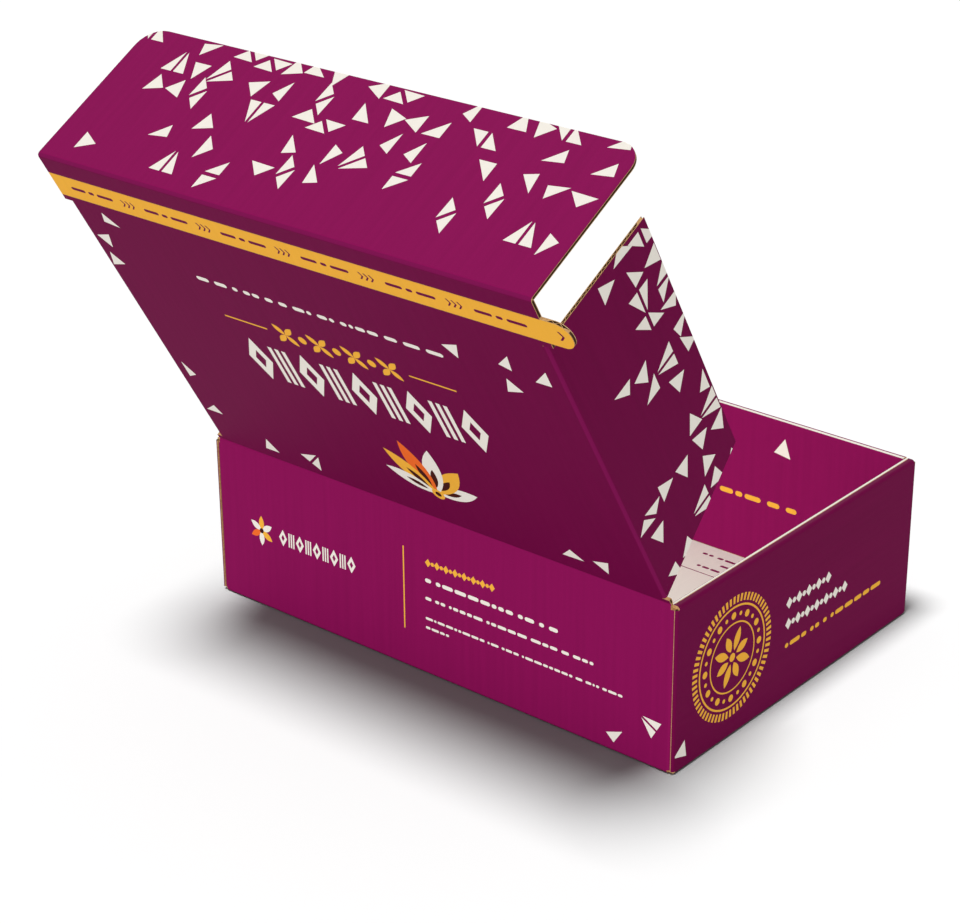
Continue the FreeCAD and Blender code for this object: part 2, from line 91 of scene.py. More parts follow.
def kraft_board(name, through, middle, flutes, mirrored=False):
    """Bare brown board, matt, with long pale and dark fibres. On a cut edge the open flutes between
    the liners get painted shade, a dark brown for the shade in them: there the surface is within the
    core, across `through` from its middle (a distance in metres from the origin), and doesn't face along the
    flutes."""
    material = bpy.data.materials.new(name)
    material.use_nodes = True
    nodes, links = material.node_tree.nodes, material.node_tree.links
    shader = nodes["Principled BSDF"]
    place = nodes.new("ShaderNodeTexCoord")
    stretch = nodes.new("ShaderNodeMapping")
    stretch.inputs["Scale"].default_value = FIBRES_PER_METRE
    links.new(place.outputs["Object"], stretch.inputs["Vector"])
    fibres = nodes.new("ShaderNodeTexNoise")
    fibres.inputs["Scale"].default_value = 1.0
    fibres.inputs["Detail"].default_value = 5.0
    links.new(stretch.outputs["Vector"], fibres.inputs["Vector"])
    tones = nodes.new("ShaderNodeValToRGB")
    tones.color_ramp.elements[0].position = 0.3
    tones.color_ramp.elements[0].color = KRAFT_DARK
    tones.color_ramp.elements[1].position = 0.7
    tones.color_ramp.elements[1].color = KRAFT_PALE
    links.new(fibres.outputs["Fac"], tones.inputs["Fac"])

    def near(output, direction, target, limit):
        """1 where a vector's measure along a direction is within a limit of a target."""
        along = nodes.new("ShaderNodeVectorMath")
        along.operation = "DOT_PRODUCT"
        along.inputs[1].default_value = direction
        links.new(output, along.inputs[0])
        measure = along.outputs["Value"]
        if mirrored:
            size = nodes.new("ShaderNodeMath")
            size.operation = "ABSOLUTE"
            links.new(measure, size.inputs[0])
            measure = size.outputs["Value"]
        compare = nodes.new("ShaderNodeMath")
        compare.operation = "COMPARE"
        links.new(measure, compare.inputs[0])
        compare.inputs[1].default_value = target
        compare.inputs[2].default_value = limit
        return compare.outputs["Value"]

    # painted shade: the open flutes are coloured dark for the shade inside them
    in_core = near(place.outputs["Object"], through, middle, CORE_HALF * MM)
    in_channel = near(place.outputs["Normal"], flutes, 0.0, 0.5)
    dark = nodes.new("ShaderNodeMath")
    dark.operation = "MULTIPLY"
    links.new(in_core, dark.inputs[0])
    links.new(in_channel, dark.inputs[1])
    colour = nodes.new("ShaderNodeMix")
    colour.data_type = "RGBA"
    links.new(dark.outputs["Value"], colour.inputs["Factor"])
    links.new(tones.outputs["Color"], colour.inputs["A"])
    colour.inputs["B"].default_value = FLUTE_PAINTED_SHADE
    links.new(colour.outputs["Result"], shader.inputs["Base Color"])
    relief = nodes.new("ShaderNodeBump")
    relief.inputs["Strength"].default_value = 0.25
    relief.inputs["Distance"].default_value = 0.0001
    links.new(fibres.outputs["Fac"], relief.inputs["Height"])
    links.new(relief.outputs["Normal"], shader.inputs["Normal"])
    shader.inputs["Roughness"].default_value = 0.9
    shader.inputs["Specular IOR Level"].default_value = 0.2
    return material


# streaks and grain of the print, counted across and along the flutes for each millimetre
STREAKS_PER_MM = (0.42, 0.012, 1)
GRAIN_PER_MM = 2.2


def printed_ink(name, colour, roughness=0.55, mottle=0.06, washboard=0.3):
    """Flat print on the liner: a little mottle from the paper, and the flutes just showing through."""
    material = bpy.data.materials.new(name)
    material.use_nodes = True
    nodes, links = material.node_tree.nodes, material.node_tree.links
    shader = nodes["Principled BSDF"]
    across = nodes.new("ShaderNodeUVMap")
    across.uv_map = "flutes"
    waves = nodes.new("ShaderNodeTexWave")
    waves.wave_type = "BANDS"
    waves.bands_direction = "X"
    # at a scale of 1 a wave texture's bands are pi / 10 apart
    waves.inputs["Scale"].default_value = math.pi / 10 / FLUTE_PITCH
    waves.inputs["Distortion"].default_value = 0.0
    links.new(across.outputs["UV"], waves.inputs["Vector"])
    stretch = nodes.new("ShaderNodeMapping")
    stretch.inputs["Scale"].default_value = STREAKS_PER_MM
    links.new(across.outputs["UV"], stretch.inputs["Vector"])
    streaks = nodes.new("ShaderNodeTexNoise")
    streaks.inputs["Scale"].default_value = 1.0
    streaks.inputs["Detail"].default_value = 3.0
    links.new(stretch.outputs["Vector"], streaks.inputs["Vector"])
    grain = nodes.new("ShaderNodeTexNoise")
    grain.inputs["Scale"].default_value = GRAIN_PER_MM
    grain.inputs["Detail"].default_value = 4.0
    links.new(across.outputs["UV"], grain.inputs["Vector"])
    both = nodes.new("ShaderNodeMath")
    both.operation = "ADD"
    links.new(streaks.outputs["Fac"], both.inputs[0])
    links.new(grain.outputs["Fac"], both.inputs[1])
    shade = nodes.new("ShaderNodeMapRange")
    shade.inputs["From Min"].default_value = 0.7
    shade.inputs["From Max"].default_value = 1.3
    shade.inputs["To Min"].default_value = 1 - mottle
    shade.inputs["To Max"].default_value = 1 + mottle
    links.new(both.outputs["Value"], shade.inputs["Value"])
    tone = nodes.new("ShaderNodeVectorMath")
    tone.operation = "SCALE"
    tone.inputs[0].default_value = colour
    links.new(shade.outputs["Result"], tone.inputs["Scale"])
    links.new(tone.outputs["Vector"], shader.inputs["Base Color"])
    flute_relief = nodes.new("ShaderNodeBump")
    flute_relief.inputs["Strength"].default_value = washboard
    flute_relief.inputs["Distance"].default_value = 0.00003
    links.new(waves.outputs["Fac"], flute_relief.inputs["Height"])
    paper_relief = nodes.new("ShaderNodeBump")
    paper_relief.inputs["Strength"].default_value = 0.15
    paper_relief.inputs["Distance"].default_value = 0.00002
    links.new(grain.outputs["Fac"], paper_relief.inputs["Height"])
    links.new(flute_relief.outputs["Normal"], paper_relief.inputs["Normal"])
    links.new(paper_relief.outputs["Normal"], shader.inputs["Normal"])
    shader.inputs["Roughness"].default_value = roughness
    shader.inputs["Specular IOR Level"].default_value = 0.02
    return material


def linear(*colour):
    """An sRGB colour, 0 to 255, as the shader's linear one."""
    return tuple(((part / 255 + 0.055) / 1.055) ** 2.4 if part > 10 else part / 255 / 12.92
                 for part in colour)


def dress(node, material):
    """Gives a CAD node one material."""
    frame["nodes"][node].data.materials.clear()
    frame["nodes"][node].data.materials.append(material)


kraft = kraft_board("kraft_tray", (1, 0, 0), (HALF_LENGTH - BOARD / 2) * MM, (0, 1, 0), mirrored=True)
dress("tray", kraft)

# the back wall, front wall and front flap are plum; the lid, side flaps and end walls are the same plum
# with painted shade, a deeper colour, and the ridge of a sharp fold has a painted highlight, a paler plum
inks = {
    "plum": printed_ink("ink_plum", linear(132, 16, 81)),
    # painted shade: the walls' plum, darkened for the lid, side flaps and end walls
    "deep_plum": printed_ink("ink_plum_in_painted_shade", linear(106, 9, 63)),
    # painted highlight: a paler plum for the ridge of a sharp fold
    "plum_painted_highlight": printed_ink("ink_plum_painted_highlight", linear(118, 18, 75), mottle=0.14),
    "cream": printed_ink("ink_cream", linear(236, 230, 220), mottle=0.02),
    "gold": printed_ink("ink_gold", linear(240, 176, 62), mottle=0.03),
    "orange": printed_ink("ink_orange", linear(236, 106, 43), mottle=0.03),
    "umber": printed_ink("ink_umber", linear(66, 26, 22)),
}


def fold_route(corners):
    """The face's section as stations along its length: (distance, point, outward normal).

    corners are (u, v, radius) with the outside on the right of the direction of travel. Returns the
    stations and, for each straight leg, the distance at which its first corner would lie."""
    points = [Vector(corner[:2]) for corner in corners]
    directions = [(after - before).normalized() for before, after in zip(points, points[1:])]
    trims = [0.0]
    for index in range(1, len(points) - 1):
        turn = directions[index - 1].angle_signed(directions[index], 0.0)
        trims.append(corners[index][2] * math.tan(abs(turn) / 2))
    trims.append(0.0)
    stations, legs, travelled = [], [], 0.0
    for index, direction in enumerate(directions):
        normal = Vector((direction.y, -direction.x))
        start = points[index] + direction * trims[index]
        end = points[index + 1] - direction * trims[index + 1]
        length = (end - start).length
        legs.append(travelled - trims[index])
        guards = [0.0, GUARD, length - GUARD, length] if length > 3 * GUARD else [0.0, length]
        for step in guards:
            stations.append((travelled + step, start + direction * step, normal))
        travelled += length
        if index + 1 == len(directions) or not trims[index + 1]:
            continue
        radius = corners[index + 1][2]
        turn = direction.angle_signed(directions[index + 1], 0.0)
        centre = end - normal * radius * (1 if turn < 0 else -1)
        for step in range(1, BEND_STEPS):
            share = step / BEND_STEPS
            swing = Matrix.Rotation(-turn * share, 2)
            spoke = swing @ (end - centre)
            stations.append((travelled + abs(turn) * radius * share, centre + spoke, swing @ normal))
        travelled += abs(turn) * radius
    return stations, legs


def station_at(stations, distance):
    """Point and normal at a distance along the route."""
    tiny = 1e-9
    for before, after in zip(stations, stations[1:]):
        if distance <= after[0] + tiny and after[0] - before[0] > tiny:
            share = (distance - before[0]) / (after[0] - before[0])
            return before[1].lerp(after[1], share), before[2].lerp(after[2], share).normalized()
    return stations[-1][1], stations[-1][2]


def signed_area(polygon):
    """The area of a flat polygon, above zero where it runs anticlockwise."""
    pairs = zip(polygon, polygon[1:] + polygon[:1])
    return sum(here[0] * there[1] - there[0] * here[1] for here, there in pairs) / 2


def printed_skin(name, body, route, to_space, outline, ground, prints=(), cuts=(), flutes_along_route=True):
    """A printed face of the board, folded along its route, as a closed skin on the solid's face.

    outline, the prints' polygons and the cuts are drawn on the flat sheet as (distance along the
    route, place across it). prints are (ink, polygon), later ones on top. to_space puts a point of
    the section and a place across it in the frame."""
    stations, _ = route
    ink_names = [ground] + sorted({ink for ink, _ in prints} - {ground})
    polygons = [(ground, outline)] + list(prints) + [(None, cut) for cut in cuts]
    points, faces, edges = [], [], []
    for _, polygon in polygons:
        polygon = [tuple(corner) for corner in polygon]
        if signed_area(polygon) < 0:
            polygon.reverse()
        faces.append(list(range(len(points), len(points) + len(polygon))))
        points.extend(Vector(corner) for corner in polygon)
    low = min(corner[1] for corner in outline) - 1
    high = max(corner[1] for corner in outline) + 1
    for distance, _, _ in stations:
        edges.append((len(points), len(points) + 1))
        points.extend((Vector((distance, low)), Vector((distance, high))))
    triangles_inside, nearest = 1, 1e-4
    flat, _, triangles, _, _, owners = delaunay_2d_cdt(
        points, edges, faces, triangles_inside, nearest, True)
    kept = []
    for triangle, owner in zip(triangles, owners):
        if 0 not in owner or polygons[max(owner)][0] is None:
            continue
        kept.append((list(triangle), ink_names.index(polygons[max(owner)][0])))

    used = sorted({corner for triangle, _ in kept for corner in triangle})
    number = {old: new for new, old in enumerate(used)}
    vertices, sheet = [], []
    for lift in (SKIN_HIGH, SKIN_LOW):
        for old in used:
            point, normal = station_at(stations, flat[old].x)
            vertices.append(to_space(point + normal * lift, flat[old].y) * MM)
            sheet.append(flat[old])
    count = len(used)
    first = [number[corner] for corner in kept[0][0]]
    one, two, three = (vertices[corner] for corner in first)
    below = vertices[first[0] + count]
    facing_out = (two - one).cross(three - one).dot(one - below) > 0
    rim, faces_out, slots = {}, [], []
    for triangle, ink in kept:
        loop = [number[corner] for corner in triangle]
        if not facing_out:
            loop.reverse()
        faces_out.append(loop)
        slots.append(ink)
        faces_out.append([corner + count for corner in reversed(loop)])
        slots.append(0)
        for start, end in zip(loop, loop[1:] + loop[:1]):
            rim[(start, end)] = ink
    for start, end in list(rim):
        if (end, start) not in rim:
            faces_out.append([end, start, start + count, end + count])
            slots.append(rim[(start, end)])

    mesh = bpy.data.meshes.new(name)
    mesh.from_pydata(vertices, [], faces_out)
    mesh.polygons.foreach_set("material_index", slots)
    uv = mesh.uv_layers.new(name="flutes")
    for loop in mesh.loops:
        place = sheet[loop.vertex_index]
        uv.data[loop.index].uv = (place.y, place.x) if flutes_along_route else (place.x, place.y)
    for ink in ink_names:
        mesh.materials.append(inks[ink])
    mesh.shade_smooth()
    mesh.set_sharp_from_angle(angle=math.radians(SKIN_SHARP))
    piece = bpy.data.objects.new(name, mesh)
    bpy.context.scene.collection.objects.link(piece)
    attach(piece, body)
    return piece


def rectangle(low, high, left, right):
    return [(low, left), (high, left), (high, right), (low, right)]


def around(centre, radius, angle):
    """The point at a radius and an angle from a centre."""
    return centre[0] + radius * math.cos(angle), centre[1] + radius * math.sin(angle)


def disc(centre, radius, sides=40):
    return [around(centre, radius, 2 * math.pi * side / sides) for side in range(sides)]


def petal(root, angle, length, width, sides=7):
    """A pointed leaf from its root, between two arcs."""
    shape = []
    for side in (1, -1):
        for step in range(sides):
            share = step / sides if side > 0 else 1 - step / sides
            bulge = side * width / 2 * 4 * share * (1 - share)
            shape.append((root[0] + length * share * math.cos(angle) - bulge * math.sin(angle),
                          root[1] + length * share * math.sin(angle) + bulge * math.cos(angle)))
    return shape


def rounded_bar(low, high, middle, height, sides=5):
    """A plain bar with round ends."""
    radius = height / 2
    shape = []
    for centre, start in ((high - radius, -90), (low + radius, 90)):
        for step in range(sides + 1):
            shape.append(around((centre, middle), radius, math.radians(start + 180 * step / sides)))
    return shape


def lozenge(centre, middle, wide, half):
    return [(centre - wide, middle), (centre, middle - half),
            (centre + wide, middle), (centre, middle + half)]


def frieze(low, high, middle, height, count, ground):
    """Open cream lozenges and sets of upright bars in turn, in a band on a ground colour."""
    lozenge_width, opening = 0.47, 0.42
    bar_places, bar_width, bar_height = (-0.27, 0, 0.27), 0.075, 0.85
    shapes, step, half = [], (high - low) / count, height / 2
    for index in range(count):
        centre = low + (index + 0.5) * step
        if index % 2 == 0:
            for ink, share in (("cream", 1), (ground, opening)):
                shapes.append((ink, lozenge(centre, middle, share * lozenge_width * step, share * half)))
        else:
            for bar in bar_places:
                place, thick, tall = centre + bar * step, bar_width * step, bar_height * half
                bar_shape = rectangle(place - thick, place + thick, middle - tall, middle + tall)
                shapes.append(("cream", bar_shape))
    return shapes


def beads(low, high, middle, height, count, ink):
    """A row of small lozenges with dots between them."""
    lozenge_width, dot_radius, dot_sides = 0.62, 0.24, 12
    step, half = (high - low) / count, height / 2
    shapes = []
    for index in range(count):
        centre = low + (index + 0.5) * step
        if index % 2 == 0:
            shapes.append((ink, lozenge(centre, middle, lozenge_width * step, half)))
        else:
            shapes.append((ink, disc((centre, middle), dot_radius * height, dot_sides)))
    return shapes


def stitches(seed, low, high, middle, height, ink):
    """A row of short dashes of uneven length."""
    shortest, longest = 1.0, 3.8
    gaps = (0.5, 0.5, 1.4)
    draw = random.Random(seed)
    shapes, place = [], low
    while place < high - height:
        dash = min(draw.uniform(shortest, longest) * height, high - place)
        shapes.append((ink, rounded_bar(place, place + max(dash, height), middle, height)))
        place += dash + draw.choice(gaps) * height
    return shapes


# the small marks of the scatter, in shares of their size
SHARDS = {
    "even": [[(-0.42, -0.32), (0.42, -0.32), (0.0, 0.5)]],
    "slim": [[(-0.5, -0.2), (0.5, -0.2), (0.22, 0.34)]],
    "square": [[(-0.42, -0.34), (0.42, -0.34), (-0.42, 0.44)]],
    "split": [[(-0.5, -0.36), (-0.055, -0.36), (-0.055, 0.5)], [(0.055, -0.36), (0.5, -0.36), (0.055, 0.5)]],
    "wings": [[(-0.62, -0.3), (-0.07, -0.3), (-0.07, 0.3)], [(0.07, -0.3), (0.62, 0.3), (0.07, 0.3)]],
}


def shard(centre, size, angle, form):
    """The triangles of one small mark of the scatter, turned to an angle."""
    marks = []
    for triangle in SHARDS[form]:
        marks.append(("cream", [(centre[0] + size * (u * math.cos(angle) - v * math.sin(angle)),
                                 centre[1] + size * (u * math.sin(angle) + v * math.cos(angle)))
                                for u, v in triangle]))
    return marks


def scatter(seed, low, high, left, right, spacing, chance, size):
    """Triangles on a loose grid, turned by eighths; chance says how likely a place has one."""
    stagger, looseness, nearest, double_size = 0.25, 0.1, 0.44, 1.2
    draw = random.Random(seed)
    shapes, taken = [], []
    columns = max(1, int((high - low) / spacing))
    rows = max(1, int((right - left) / spacing))
    for column in range(columns):
        for row in range(rows):
            shift = 0.5 + stagger * (row % 2) + draw.uniform(-looseness, looseness)
            along = low + (column + shift) * (high - low) / columns
            across = left + (row + 0.5 + draw.uniform(-looseness, looseness)) * (right - left) / rows
            form = draw.choice(("slim", "square", "even", "slim", "even", "even", "split", "wings"))
            angle = math.radians(draw.choice(range(0, 360, 45)))
            wide = size * (double_size if form in ("split", "wings") else 1)
            near = any(math.hypot(along - other[0], across - other[1]) < nearest * (wide + other[2])
                       for other in taken)
            if draw.random() > chance(along, across) or near:
                continue
            taken.append((along, across, wide))
            shapes += shard((along, across), wide, angle, form)
    return shapes


def moved(shapes, place):
    """Prints drawn on a panel, put on the flat sheet by place(along, up)."""
    return [(ink, [place(*corner) for corner in polygon]) for ink, polygon in shapes]


# the outside face of the tray's long strip: up the front wall's lining, over the roll, down the
# front, under the floor and up the back wall to the crease of the lid
long_route = fold_route([
    (-FRONT_LINING, LINING_FOOT, 0), (-FRONT_LINING, WALL_HEIGHT, ROLL_INNER_BEND),
    (-HALF_DEPTH, WALL_HEIGHT, BEND), (-HALF_DEPTH, 0, BEND),
    (HALF_DEPTH, 0, BEND), (HALF_DEPTH, WALL_HEIGHT, 0)])
lining_leg, roll_leg, front_leg, _, back_leg = long_route[1]
WALL_HALF = TAB_OUTER - BEND
TAB_INNER = TAB_OUTER - BOARD
TAB_TOP = WALL_HEIGHT - BOARD - LAYER_GAP
cut_top = front_leg + BEND
long_end = back_leg + WALL_HEIGHT
tab_top_at = back_leg + TAB_TOP
long_outline = [
    (0, -ROLL_HALF), (cut_top, -ROLL_HALF), (cut_top, -WALL_HALF), (tab_top_at, -WALL_HALF),
    (tab_top_at, -TAB_INNER), (long_end, -TAB_INNER), (long_end, TAB_INNER), (tab_top_at, TAB_INNER),
    (tab_top_at, WALL_HALF), (cut_top, WALL_HALF), (cut_top, ROLL_HALF), (0, ROLL_HALF)]

# back wall, drawn as seen from behind, from its left end and up from the floor: a small flower and
# a frieze, a gold rule, a row of beads and four rows of dashes, each given by its right end, middle
# and height
FLOWER_MIDDLE = (28, 39.5)
FLOWER_INKS = ("cream", "gold", "cream", "orange", "cream", "gold")
RULE_LEFT, RULE_RIGHT, RULE_LOW, RULE_HIGH = 115.6, 116.3, 19, 60
BACK_ROWS_LEFT = 128.5
BACK_ROWS = ((204, 47.2, 1.9), (222, 38.2, 1.5), (239, 28.2, 1.2), (142, 23.6, 1.2))
back_art = [("gold", rectangle(RULE_LEFT, RULE_RIGHT, RULE_LOW, RULE_HIGH))]
for turn, ink in enumerate(FLOWER_INKS):
    back_art.append((ink, petal(FLOWER_MIDDLE, math.radians(60 * turn + 30), length=7.6, width=3.2)))
back_art.append(("umber", disc(FLOWER_MIDDLE, 1.3, sides=16)))
back_art += frieze(39, 87, middle=40, height=8.4, count=9, ground="plum")
back_art += beads(129, 168, middle=56, height=4.0, count=15, ink="gold")
for row, (right_end, middle, height) in enumerate(BACK_ROWS):
    back_art += stitches(60 + row, BACK_ROWS_LEFT, right_end, middle, height, "cream")
back_art += shard((252, 20), 10, math.radians(60), "split")
back_art += shard((234, 8), 9, math.radians(200), "slim")
long_prints = moved(back_art, lambda along, up: (back_leg + up, HALF_LENGTH - along))

# front wall's outside, which the photograph hides: the same scatter, thinning downwards
FRONT_ART_HALF, FRONT_ART_LOW, FRONT_ART_HIGH = 124, 4, 74
front_art = scatter(12, -FRONT_ART_HALF, FRONT_ART_HALF, FRONT_ART_LOW, FRONT_ART_HIGH, 13.2,
                    lambda along, up: 0.75 * max(0.0, (up - 26) / 46) ** 1.3, 11)
long_prints += moved(front_art, lambda along, up: (front_leg + WALL_HEIGHT - up, along))

# front wall's lining, seen from inside: a few triangles and a short row of dashes
lining_art = shard((-63, 65), 11, math.radians(8), "even")
lining_art += shard((72, 55), 10, math.radians(110), "square")
lining_art += shard((104, 34), 10, math.radians(290), "even")
lining_art += stitches(64, -72, 40, middle=34.5, height=2.6, ink="gold")
long_prints += moved(lining_art, lambda along, up: (lining_leg + up - LINING_FOOT, along))

# the roll's inner half carries a narrow cream line, as the sheet's print ends there
ROLL_LINE_START, ROLL_LINE_END = 0.3, 1.7
roll_line = rectangle(roll_leg + ROLL_LINE_START, roll_leg + ROLL_LINE_END, -ROLL_HALF, ROLL_HALF)
long_prints.append(("cream", roll_line))

printed_skin("tray_long_print", "tray", long_route, lambda point, across: Vector((across, point.x, point.y)),
             long_outline, "plum", long_prints)

# End walls: the same sheet folded up from the floor's ends, rolled over the corner tabs and down to
# the floor. Each carries a round ornament and a few plain bars on its outside.
EDGE_CRUSH = 1.2
PANEL_HALF = HALF_DEPTH - LAYER_GAP
FLAT_HALF = PANEL_HALF - EDGE_CRUSH
LONG_INNER = HALF_DEPTH - BOARD
END_HALF = LONG_INNER - LAYER_GAP
end_route = fold_route([
    (WALL_HALF, 0, 0), (HALF_LENGTH, 0, BEND), (HALF_LENGTH, WALL_HEIGHT, BEND),
    (LINING_INNER, WALL_HEIGHT, ROLL_INNER_BEND), (LINING_INNER, LINING_FOOT, 0)])
_, outer_leg, top_leg, end_lining_leg = end_route[1]
end_cut_top = outer_leg + WALL_HEIGHT - BEND
end_stop = end_lining_leg + WALL_HEIGHT - LINING_FOOT
end_outline = [
    (0, -END_HALF), (outer_leg + BEND, -END_HALF), (outer_leg + BEND, -FLAT_HALF),
    (end_cut_top, -FLAT_HALF), (end_cut_top, -END_HALF), (end_stop, -END_HALF),
    (end_stop, END_HALF), (end_cut_top, END_HALF), (end_cut_top, FLAT_HALF),
    (outer_leg + BEND, FLAT_HALF), (outer_leg + BEND, END_HALF), (0, END_HALF)]

# the round ornament: a ring of ticks, two ruled rings with beads between them, eight petals, a dot
TICKS, TICK_INNER, TICK_OUTER, TICK_INNER_HALF, TICK_OUTER_HALF = 64, 25.4, 28.9, 0.65, 0.75
# the plum rings are the ground's plum, which carries painted shade
RINGS = ((24.2, "gold"), (23.3, "deep_plum"), (16.4, "gold"), (15.7, "deep_plum"))
BEADS, BEAD_PLACE, BEAD_SIZES = 24, 19.8, (1.7, 1.0)
PETALS, PETAL_ROOT, PETAL_LENGTHS, PETAL_WIDTH = 8, 3.1, (8.8, 10.8), 4.2


def rosette(centre):
    """The round ornament, as gold prints on the plum ground, which carries painted shade."""
    shapes = []
    for tick in range(TICKS):
        angle = 2 * math.pi * tick / TICKS
        spoke = [(TICK_INNER, -TICK_INNER_HALF), (TICK_OUTER, -TICK_OUTER_HALF),
                 (TICK_OUTER, TICK_OUTER_HALF), (TICK_INNER, TICK_INNER_HALF)]
        shapes.append(("gold", [(centre[0] + out * math.cos(angle) - wide * math.sin(angle),
                                 centre[1] + out * math.sin(angle) + wide * math.cos(angle))
                                for out, wide in spoke]))
    for radius, ink in RINGS:
        shapes.append((ink, disc(centre, radius, sides=56)))
    for bead in range(BEADS):
        place = around(centre, BEAD_PLACE, 2 * math.pi * bead / BEADS)
        shapes.append(("gold", disc(place, BEAD_SIZES[bead % 2], sides=12)))
    for leaf in range(PETALS):
        angle = 2 * math.pi * leaf / PETALS + math.pi / PETALS
        root = around(centre, PETAL_ROOT, angle)
        shapes.append(("gold", petal(root, angle, PETAL_LENGTHS[leaf % 2], PETAL_WIDTH)))
    shapes.append(("gold", disc(centre, 2.0, sides=18)))
    return shapes


# drawn along the wall from its back edge and up from the floor
END_ROWS_LEFT = 81.5
end_art = rosette((41, 38.6))
end_art += beads(END_ROWS_LEFT, 116, middle=47, height=5.6, count=9, ink="cream")
end_art += beads(END_ROWS_LEFT, 130, middle=36.8, height=5.6, count=13, ink="cream")
end_art += stitches(66, END_ROWS_LEFT, 161, middle=26.3, height=2.2, ink="gold")
end_art += shard((5.5, 9), 10, math.radians(100), "even")

# the roll's top has a hairline of bare board beside a narrow cream line
ROLL_BARE_START, ROLL_CREAM_START, ROLL_CREAM_END = 2.85, 3.2, 4.2
ROLL_BARE_INSET = 1

for name, side in (("tray_left_end_print", -1), ("tray_right_end_print", 1)):
    end_prints = moved(end_art, lambda along, up: (outer_leg + up, HALF_DEPTH - along))
    cream_line = rectangle(top_leg + ROLL_CREAM_START, top_leg + ROLL_CREAM_END, -END_HALF, END_HALF)
    end_prints.append(("cream", cream_line))
    bare_line = rectangle(top_leg + ROLL_BARE_START, top_leg + ROLL_CREAM_START,
                          ROLL_BARE_INSET - END_HALF, END_HALF - ROLL_BARE_INSET)
    # the end walls' plum ground carries painted shade
    printed_skin(name, "tray", end_route,
                 lambda point, across, side=side: Vector((side * point.x, across, point.y)),
                 end_outline, "deep_plum", end_prints, [bare_line], flutes_along_route=False)

# Upright corners: the back and front walls turn into tabs inside the end walls, whose cut edges
# the die has crushed, so the printed liner curves over them and only a sliver of board shows.
TAB_SHOWN = 3
for end_name, end in (("back", 1), ("front", -1)):
    for side_name, side in (("left", -1), ("right", 1)):
        tab_route = fold_route([
            (TAB_OUTER, HALF_DEPTH - TAB_SHOWN, 0), (TAB_OUTER, HALF_DEPTH, BEND),
            (WALL_HALF, HALF_DEPTH, 0)])
        edge_route = fold_route([
            (HALF_LENGTH, FLAT_HALF, 0), (HALF_LENGTH, PANEL_HALF, EDGE_CRUSH),
            (HALF_LENGTH - EDGE_CRUSH, PANEL_HALF, 0)])

        def at_corner(point, up, side=side, end=end):
            return Vector((side * point.x, end * point.y, up))

        printed_skin(f"{end_name}_{side_name}_tab_print", "tray", tab_route, at_corner,
                     rectangle(0, tab_route[0][-1][0], LINING_FOOT, TAB_TOP), "plum",
                     flutes_along_route=False)
        # the crushed edges' plum carries painted shade
        printed_skin(f"{end_name}_{side_name}_edge_print", "tray", edge_route, at_corner,
                     rectangle(0, edge_route[0][-1][0], BEND, WALL_HEIGHT - BEND), "deep_plum",
                     flutes_along_route=False)

# Inside of the tray: the sheet's inner face is printed cream as well. The floor has rows of thin
# plum dashes, a plum rule and a row of gold beads, and the back wall is plain.
INSIDE_CLEAR = 0.25
RULE_HALF = 0.3
RULE_MIDDLE = -62.3
DASH_ROWS = ((-24, -80), (-38, -74), (-30, -68), (-56, -64))
floor_inside = fold_route([(-LONG_INNER, -BOARD, 0), (FRONT_LINING - INSIDE_CLEAR, -BOARD, 0)])
floor_depth = floor_inside[0][-1][0]
floor_half = LINING_INNER - INSIDE_CLEAR
floor_art = [("plum", rectangle(-100, -20, RULE_MIDDLE - RULE_HALF, RULE_MIDDLE + RULE_HALF))]
for row, (right_end, middle) in enumerate(DASH_ROWS):
    floor_art += stitches(80 + row, -98, right_end, middle, height=1.7, ink="plum")
floor_art += stitches(90, -90, 90, middle=20, height=2.4, ink="plum")
floor_art += beads(-60, 60, middle=34, height=7, count=17, ink="gold")
floor_print = printed_skin("tray_floor_inside_print", "tray", floor_inside,
                           lambda point, across: Vector((across, -point.x, -point.y)),
                           rectangle(0, floor_depth, -floor_half, floor_half), "cream",
                           moved(floor_art, lambda along, back: (LONG_INNER - back, along)))
back_inside = fold_route([(WALL_HEIGHT, -LONG_INNER, 0), (BOARD, -LONG_INNER, 0)])
printed_skin("tray_back_inside_print", "tray", back_inside,
             lambda point, across: Vector((across, -point.y, point.x)),
             rectangle(0, WALL_HEIGHT - BOARD, -LINING_INNER, LINING_INNER), "cream")

# Lid: flat panel of the same board, plum outside and cream inside, with a gold tear strip between
# two rows of die cuts that runs out into the pull tab, and an ornament in the middle.
OPEN = math.radians(120)
ALONG = Vector((0, -math.cos(OPEN), math.sin(OPEN)))
OUTWARD = Vector((0, math.sin(OPEN), math.cos(OPEN)))
HALF_BOARD = BOARD / 2
FLAP_HINGE = Vector(joints["front_flap_hinge"]["pos_m"]) / MM
LID_REACH = (FLAP_HINGE - HINGE).length
SIDE_CREASE = joints["side_flap_right_hinge"]["pos_m"][0] / MM
PULL_END = -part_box("lid")[0].x / MM
STRIP_SETBACK, STRIP_WIDTH = 9.8, 13
STRIP_FRONT = LID_REACH - STRIP_SETBACK
STRIP_REAR = STRIP_FRONT - STRIP_WIDTH
PULL_SETBACK, SIDE_INSET = 0.1, 3
PULL_REAR = STRIP_REAR - PULL_SETBACK
PULL_FRONT_RADIUS, PULL_REAR_RADIUS = 6.5, 6
SIDE_START, SIDE_END = SIDE_INSET, PULL_REAR - SIDE_INSET
NOTCH = 0.25
CREASE_SIDE = SIDE_CREASE - CREASE_FULL
CUT_LENGTH, CUT_PITCH, CUT_HALF, CUT_INSET = 4.5, 7, 0.15, 5


